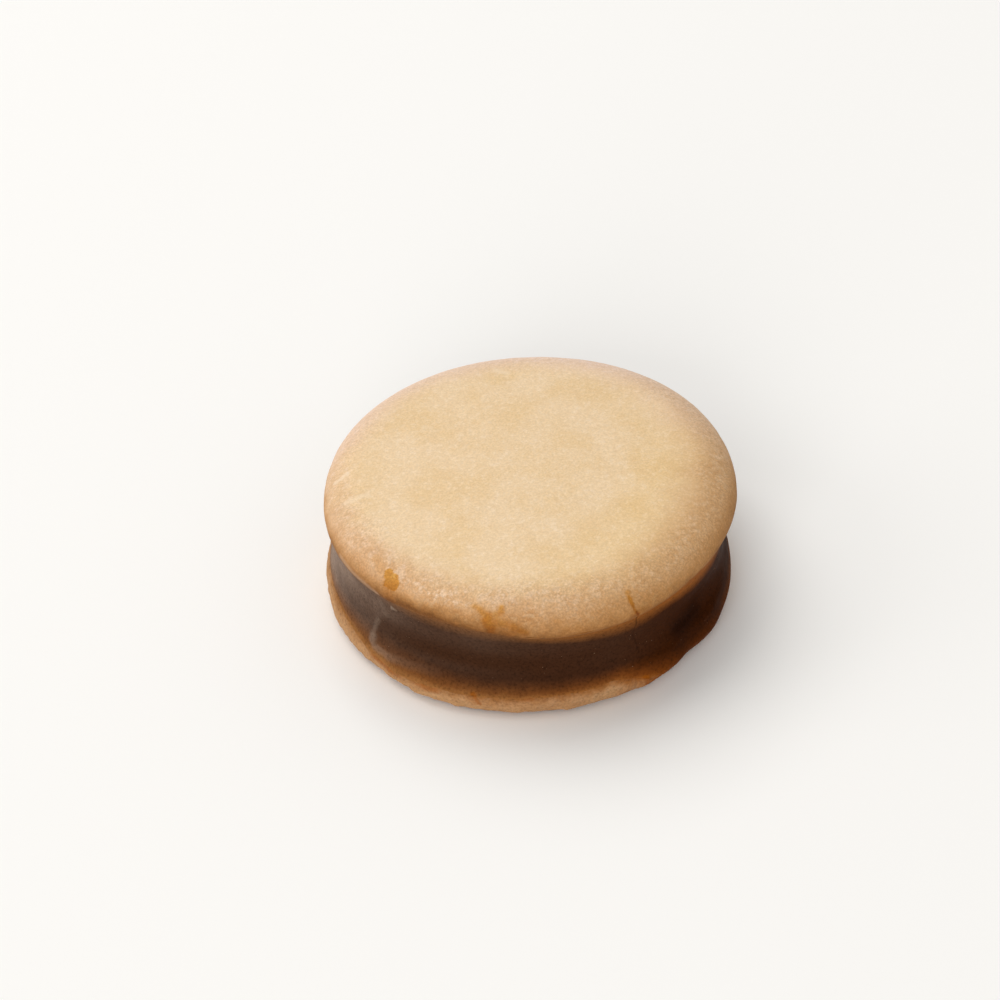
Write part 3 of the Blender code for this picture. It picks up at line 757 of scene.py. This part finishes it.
# The caramel's surface: a skirt inside the lower biscuit's shoulder, the film over that shoulder,
# the pressed side, which runs out to the lip and then into it, and a top inside the upper biscuit.
# The film ends a fixed share of the way up the smeared colour.
def caramelRings():
    rows, foot = caramel["rows"], caramel["foot"]
    head = foot + caramel["height"]
    top = upper["seat"] + caramel["headOverlap"]
    under = lower["height"] - caramel["overlap"]
    low, high = roundTheRim(caramel["smearLow"]), roundTheRim(caramel["smearHigh"])
    filmEnd = np.maximum(low + caramel["filmSmear"] * (high - low), caramel["filmLowest"])[None, :]
    skirtLevels = under + (filmEnd - under) * np.linspace(0, 1, rows["skirt"], endpoint=False)[:, None]
    skirt = lowerSideRadius(skirtLevels) + lowerRimOffset(angles) - caramel["skirtInset"]
    filmLevels = filmEnd + (foot - filmEnd) * np.linspace(0, 1, rows["film"], endpoint=False)[:, None]
    sideLevels = np.linspace(foot, top, rows["side"])[:, None]
    flare = caramel["footFlare"] * np.maximum(0, 1 - (sideLevels - foot) / caramel["footFlareReach"]) ** 2
    flare = flare + caramel["headFlare"] * smoothStep(caramel["hollowLevel"], head, sideLevels)
    side = caramel["radius"] + flare - caramelInset(angles[None, :], np.minimum(sideLevels, head))
    climb = np.clip((sideLevels - caramel["meetsFrom"]) / (caramel["meetsAt"] - caramel["meetsFrom"]), 0, 1)
    proud = caramel["headProud"] - caramel["headSunk"] * smoothStep(caramel["meetsAt"] - 0.2, top, sideLevels)
    lip = lipRadius(np.maximum(sideLevels, caramel["meetsAt"])) + proud
    side = side + roundTheRim(caramel["meets"]) * climb**2 * (lip - side)
    underRadii = np.linspace(0.3, 0.92, rows["under"])[:, None] * caramel["radius"] + 0 * turns
    topRadii = np.linspace(0.96, 0.3, rows["top"])[:, None] * caramel["radius"] + 0 * turns
    radii = np.concatenate([underRadii, skirt, filmRadius(filmLevels, filmEnd), side, topRadii])
    levels = np.concatenate([
        0 * underRadii + under, skirtLevels, filmLevels, sideLevels + 0 * turns, 0 * topRadii + top,
    ])
    share = np.clip((levels - foot) / caramel["height"], 0, 1)
    offset = caramel["offsetShare"] * np.array([*upper["offset"], 0])
    return leaned(ringGrid(radii, levels) + share[..., None] * offset, share)


# The fold's edge, fading out towards the right
def foldEdgeTone(rings, ragged):
    fade = np.interp(angles, *np.array(caramel["foldEdgeFade"]).T)
    return markTone(rings, caramel["foldEdge"], ragged) * fade


# The distance from the crack, measured on the side laid out flat
def caramelCrack(rings):
    path = unrolled(stopsToPoints(caramel["crack"]), caramel["radius"])
    return distanceToPath(unrolled(rings, caramel["radius"]), path)


# The caramel's relief: soft clouds, the raised edge of the fold, the trench and the crack, all only
# on the outer side and thinning out with the film
def caramelRelief(rings, smear):
    outer = smoothStep(0.35, 0.8, smear) * (reachFrom(rings) > 0.965 * caramel["radius"])
    height = cloudRelief(rings, caramel["relief"], 51) + caramel["foldEdgeHeight"] * foldEdgeTone(rings, 0.03)
    trench = bell(distanceToPath(rings, stopsToPoints(caramel["trench"])), caramel["trenchWidth"])
    height -= caramel["trenchDepth"] * trench * smoothStep(6.4, 7.6, rings[..., 2])
    height -= caramel["crackDepth"] * bell(caramelCrack(rings), caramel["crackWidth"])
    return height * outer


# The caramel's named tones: the dried skin with its painted sheen by angle and level, painted sheen
# streaks in it, the brown head, a painted highlight on the fold's edge, painted shade in the trench and crack
def caramelTones(rings, smear):
    level = rings[..., 2]
    loose = cloudRelief(rings, caramel["unevenSkinAndSheen"], 61)
    # the dried skin's paler colour, which also paints the sheen of grazing light
    low, high = roundTheRim(caramel["skinAndSheenLow"]), roundTheRim(caramel["skinAndSheenHigh"])
    skinAndSheen = low + (high - low) * smoothStep(*caramel["skinAndSheenRise"], level)
    skinAndSheen = skinAndSheen * smoothStep(*caramel["skinAndSheenFrom"], level)
    skinAndSheen = skinAndSheen + roundTheRim(caramel["lowSheenBand"]) * bell(level - 8, 0.9)
    past = smoothStep(-0.5, 1.2, pastFold(angles, level)) * smoothStep(6.5, 7.5, level)
    skinAndSheen = skinAndSheen * (1 - 0.45 * past * (1 - smoothStep(10, 13, level)))
    # slanting streaks of painted sheen in it, with a pale fleck
    slanting = np.stack([31 * turns + 0.45 * level, 0 * level, 0.14 * level], axis=-1)
    streaks = smoothStep(0.25, 0.8, cloud(slanting, 0.45, 64)) * smoothStep(0.45, 0.8, skinAndSheen + loose)
    streaks = streaks * smoothStep(9.5, 12.5, level)
    # painted shade in the trench and along the crack
    trench = bell(distanceToPath(rings, stopsToPoints(caramel["trench"])), 1.6)
    crack = bell(caramelCrack(rings), caramel["crackWidth"]) * (0.42 + 0.36 * smoothStep(13, 14.5, level))
    headFrom = roundTheRim(caramel["headFrom"])
    head = np.clip((level + 0.6 * loose - headFrom) / (roundTheRim(caramel["headFull"]) - headFrom), 0, 1)
    return {
        "smear": smear, "amberAndShade": amberAndShadeTone(rings), "skinAndSheen": np.clip(skinAndSheen * (1 + loose), 0, 1),
        "head": head * roundTheRim(caramel["headBrown"]), "dripsAndShade": markTone(rings, lower["dripsAndShade"][:3], 0.12),
        "streaks": np.maximum(streaks, markTone(rings, caramel["paleFleck"], 0.15)),
        # the fold's edge is a painted highlight; the trench and crack get painted shade
        "foldEdge": foldEdgeTone(rings, 0.08), "deep": np.maximum(trench, crack),
    }


# The finish of the upper biscuit: cream with fine pale flecks, browned at the rim with floury
# mottling, soaked brown at the lip, with amber stains that tint what lies under them
def creamFinish():
    material, tree = newMaterial("bakedCream")
    broad, mottle = addNoise(tree, 8, 2), addNoise(tree, 1.7, 4, 0.6)
    flour, grain = addNoise(tree, 0.8, 3, 0.6), addNoise(tree, 0.9, 5, 0.8)
    floury = addTone(tree, "floury")
    browned = addRange(tree, addLoosened(tree, "browned", mottle, 0.35), 0, 1.05)
    pits = addTimes(tree, addRange(tree, flour, 0.5, 0.34), floury)
    dusting = addRange(tree, addMath(tree, "ADD", mottle, flour), 0.94, 1.22)
    patches = addTimes(tree, dusting, addMath(tree, "ADD", floury, 0.2))
    flecks = addTimes(tree, addRange(tree, grain, 0.5, 0.65), addRange(tree, floury, 0.2, 1, 1, 0.45))
    dips = addRange(tree, grain, 0.5, 0.3)
    grit = addRamp(tree, addNoise(tree, 0.33, 2, 0.6), ((0.32, 0.81), (0.5, 0.97), (0.68, 1.14)))
    soaked = addLoosened(tree, addLoosened(tree, "soaked", mottle, 0.55), flour, 0.45)
    amber = addRange(tree, addLoosened(tree, "amber", flour, 0.45), 0.05, 0.95)
    colour = addMix(tree, addRange(tree, broad, 0.35, 0.68), upper["cream"], upper["creamWarm"])
    colour = addLayers(
        tree, colour, "MIX", (browned, upper["rimTan"]), ("rosy", upper["rimRose"]), (pits, upper["pitTan"]),
        (patches, upper["rimPale"]),
    )
    colour = addLayers(
        tree, colour, "MULTIPLY", (flecks, upper["fleckTint"]), (dips, upper["dipWarm"]),
        # a golden tint to the right, partly painted shade
        ("golden", upper["goldAndShadeTint"]), (addRange(tree, floury, 0, 0.8, 0.46, 1), (1, grit)),
        (1, (1, addRamp(tree, soaked, upper["soakTints"]))), (amber, upper["amberTint"]),
        ("crack", upper["crackTint"]),
    )
    # pale scratches, and a painted sheen along the lip's lower edge
    colour = addLayers(tree, colour, "MIX", ("scratchAndSheen", upper["scratchAndSheenPale"]))
    bumps = ((mottle, 0.016), (flour, 0.008), (grain, 0.005))
    feedShader(tree, colour, addRange(tree, grain, 0.3, 0.7, 0.62, 0.8), 0.15, bumps)
    return material


# The run of colour from clean biscuit to full caramel, shared by the two lower pieces
def smearColour(tree, tone, mottle):
    loosened = addLoosened(tree, tone, mottle, 0.1)
    return addRamp(tree, loosened, (
        (0, lower["tan"]), (0.14, shade(178, 131, 87)), (0.32, shade(155, 106, 60)),
        (0.52, shade(119, 74, 38)), (0.76, shade(86, 51, 27)), (1, caramel["body"]),
    ))


# Turns a colour to amber where the caramel runs out over the biscuit at the right, deepening it
# there partly as painted shade
def addAmberAndShade(tree, colour, smear):
    amberAndShade = addTimes(tree, "amberAndShade", addRange(tree, smear, 0, 0.45))
    return addMix(tree, amberAndShade, colour, caramel["amberAndShadeTint"], "MULTIPLY")


def smearRoughness(tree, tone, grain):
    plain = addRamp(tree, tone, ((0, 0.74), (0.3, 0.64), (0.7, 0.54), (1, 0.5)))
    return addLoosened(tree, plain, grain, 0.16)


# The finish of the lower biscuit: tan under the caramel's run of colour, browned on its base
def tanFinish():
    material, tree = newMaterial("bakedTan")
    mottle, grain = addNoise(tree, 1.5, 4, 0.6), addNoise(tree, 0.42, 3, 0.6)
    smear = addTone(tree, "smear")
    pale = addTimes(tree, addRange(tree, mottle, 0.38, 0.76), addMath(tree, "SUBTRACT", 1, smear))
    base = addRange(tree, addLoosened(tree, "base", mottle, 0.5), 0.2, 1)
    baseColour = addMix(tree, addRange(tree, mottle, 0.38, 0.66), lower["baseDark"], lower["baseBrown"])
    # amber drips, one mark of which is painted shade on the foot
    colour = addLayers(
        tree, addAmberAndShade(tree, smearColour(tree, smear, mottle), smear), "MIX", (pale, lower["tanPale"]),
        (base, (1, baseColour)), ("dripsAndShade", lower["dripAmber"]),
    )
    grey = addRamp(tree, grain, ((0.28, 0.6), (0.5, 0.91), (0.7, 1.04)))
    colour = addMix(tree, 1, colour, grey, "MULTIPLY")
    feedShader(tree, colour, smearRoughness(tree, smear, grain), 0.1, ((mottle, 0.06), (grain, 0.03)))
    return material


# The finish of the caramel: its run of colour, the paler skin with painted sheen and painted sheen
# streaks, a painted highlight on the fold's edge, painted shade in the trench and crack, tiny pale
# flecks, and a satin gloss that is a little uneven
def caramelFinish():
    material, tree = newMaterial("milkCaramel")
    mottle, grain = addNoise(tree, 1.5, 4, 0.6), addNoise(tree, 0.42, 3, 0.6)
    smear = addTone(tree, "smear")
    colour = addLayers(tree, smearColour(tree, smear, mottle), "MIX", ("head", caramel["headTint"]))
    colour = addLayers(
        tree, addAmberAndShade(tree, colour, smear), "MIX", ("dripsAndShade", lower["dripAmber"]),
        # dried skin with painted sheen, then painted sheen streaks
        ("skinAndSheen", caramel["skinAndSheenGrey"]), ("streaks", caramel["streakSheen"]),
        # a painted highlight on the fold's edge, and painted shade in the trench and crack
        ("foldEdge", caramel["foldHighlight"]), ("deep", caramel["deep"]),
        (addRange(tree, addNoise(tree, 0.3, 1), 0.74, 0.8), caramel["fleck"]),
    )
    grey = addRamp(tree, grain, ((0.25, 0.5), (0.5, 0.91), (0.75, 1.06)))
    colour = addMix(tree, 1, colour, grey, "MULTIPLY")
    roughness = smearRoughness(tree, smear, mottle)
    feedShader(tree, colour, roughness, 0.015, ((mottle, 0.012), (grain, 0.004)))
    return material


def crumbFinish():
    material, tree = newMaterial("paleCrumb")
    grain = addNoise(tree, 0.2, 2)
    colour = addMix(tree, addRange(tree, grain, 0.3, 0.7), caramel["crumbColour"], caramel["crumbPale"])
    feedShader(tree, colour, addRange(tree, grain, 0.3, 0.7, 0.6, 0.8), 0.5, ((grain, 0.02),))
    return material


# Tiny crumbs stuck to the caramel: a twenty-faced ball with shaken corners, stretched along its axes
# and centred on a random point of the outer side, so that half of it is sunk
def crumbsPiece(rings, smear):
    dice, count = np.random.default_rng(83), caramel["crumbs"]
    golden = (1 + 5**0.5) / 2
    corners = np.array([(0, a, b * golden) for a in (-1, 1) for b in (-1, 1)], dtype=float)
    corners = np.concatenate([corners, np.roll(corners, 1, axis=1), np.roll(corners, 2, axis=1)])
    near = np.abs(np.linalg.norm(corners[:, None] - corners, axis=-1) - 2) < 1e-6
    faces = [
        (a, b, c) if np.linalg.det(corners[[a, b, c]]) > 0 else (a, c, b)
        for a, b, c in np.ndindex(12, 12, 12)
        if a > b > c and near[a, b] and near[b, c] and near[a, c]
    ]
    corners /= np.linalg.norm(corners[0])
    outer = (smear > 0.75) & (rings[..., 2] < 15.6) & (reachFrom(rings) > 30.2)
    free = rings[outer]
    places = free[dice.integers(0, len(free), count)]
    sizes = dice.uniform(*caramel["crumbSize"], count) * dice.uniform(0.6, 1, count)
    shaken = corners[None] * dice.uniform(0.7, 1.25, (count, 12, 1))
    points = places[:, None] + shaken * dice.uniform(0.55, 1.2, (count, 1, 3)) * sizes[:, None, None]
    allFaces = (np.array(faces)[None] + 12 * np.arange(count)[:, None, None]).reshape(-1, 3)
    return newPiece("caramel_crumbs", points.reshape(-1, 3) + middle, allFaces.tolist(), crumbFinish(), {})


upperShape = upperRings()
upperShape = raised(upperShape, upperRelief(upperShape))
upperPiece = closedPiece("upper_biscuit_baked", upperShape + middle, creamFinish(), upperTones(upperShape))

lowerShape = lowerRings()
lowerSmear = smearTone(lowerShape)
# the amber tone is partly painted shade on the right
lowerTones = {
    # amber drips, with a painted shade low on the right of the foot
    "smear": lowerSmear, "amberAndShade": amberAndShadeTone(lowerShape), "dripsAndShade": markTone(lowerShape, lower["dripsAndShade"], 0.12),
    "base": 1 - smoothStep(0, 1.3, lowerShape[..., 2]),
}
lowerShape = raised(lowerShape, lowerRelief(lowerShape, lowerSmear))
lowerShape[..., 2] = np.maximum(lowerShape[..., 2], 0)
lowerPiece = closedPiece("lower_biscuit_baked", lowerShape + middle, tanFinish(), lowerTones)

caramelShape = caramelRings()
caramelSmear = smearTone(caramelShape)
caramelShape = raised(caramelShape, caramelRelief(caramelShape, caramelSmear))
caramelPiece = closedPiece(
    "caramel_layer", caramelShape + middle, caramelFinish(), caramelTones(caramelShape, caramelSmear)
)
crumbs = crumbsPiece(caramelShape, caramelSmear)

for piece, nodes, slotName in (
    (upperPiece, ["top_biscuit"], "biscuit"),
    (caramelPiece, ["filling"], "caramel"),
    (lowerPiece, ["bottom_biscuit"], "biscuit_edge"),
    (crumbs, [], "biscuit"),
):
    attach(piece, "root")
    if nodes:
        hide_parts(*nodes)


# The table, the camera and the studio lights

studio = {
    "floorSize": 3000, "floorShade": shade(249, 248, 246),
    "cameraAim": (-4.46, 7.497, 10),  # the point on the camera's axis, mm
    "cameraDistance": 450, "cameraElevation": 40.68, "cameraRoll": 2.74, "lens": 100.08,
    "worldShade": shade(255, 254, 252), "worldStrength": 0.45,
    # name, place and size in metres, power in watts, colour
    "softboxes": (
        ("overheadBack", (-0.7, 1.05, 2), 2.1, 30, (1, 0.99, 0.97)),
        ("frontFill", (-0.75, -2.3, 0.9), 1.5, 29, (1, 0.99, 0.97)),
        ("leftPanel", (-1.75, -0.1, 0.8), 1, 6, (1, 0.99, 0.98)),
    ),
}

corners = studio["floorSize"] / 2 * np.array([(-1, -1, 0), (1, -1, 0), (1, 1, 0), (-1, 1, 0)])
material, tree = newMaterial("paleTable")
feedShader(tree, studio["floorShade"], 0.9, 0.1)
newPiece("table_top", corners, [(0, 1, 2, 3)], material, {})

tilt, roll = math.radians(studio["cameraElevation"]), math.radians(studio["cameraRoll"])
forward = Vector((0, math.cos(tilt), -math.sin(tilt)))
upwards = Vector((0, math.sin(tilt), math.cos(tilt)))
right = Vector((math.cos(roll), 0, 0)) - upwards * math.sin(roll)
above = Vector((math.sin(roll), 0, 0)) + upwards * math.cos(roll)
place = (Vector(studio["cameraAim"]) - forward * studio["cameraDistance"]) * mm
camera = newObject("camera", bpy.data.cameras.new("camera"))
camera.data.lens, camera.data.sensor_width = studio["lens"], 36
camera.data.clip_start, camera.data.clip_end = 0.01, 20
camera.matrix_world = Matrix.Translation(place) @ Matrix((right, above, -forward)).transposed().to_4x4()
scene.camera = camera

for name, place, size, power, colour in studio["softboxes"]:
    light = newObject(name, bpy.data.lights.new(name, "AREA"))
    light.data.shape, light.data.size = "SQUARE", size
    light.data.energy, light.data.color = power, colour
    light.location = place
    light.rotation_mode = "QUATERNION"
    light.rotation_quaternion = (Vector((0, 0, 0.01)) - Vector(place)).to_track_quat("-Z", "Y")

world = bpy.data.worlds.new("paleRoom")
world.use_nodes = True
background = world.node_tree.nodes["Background"]
background.inputs["Color"].default_value = studio["worldShade"]
background.inputs["Strength"].default_value = studio["worldStrength"]
scene.world = world
scene.view_settings.view_transform = "Standard"
print("table, camera and lights in place")
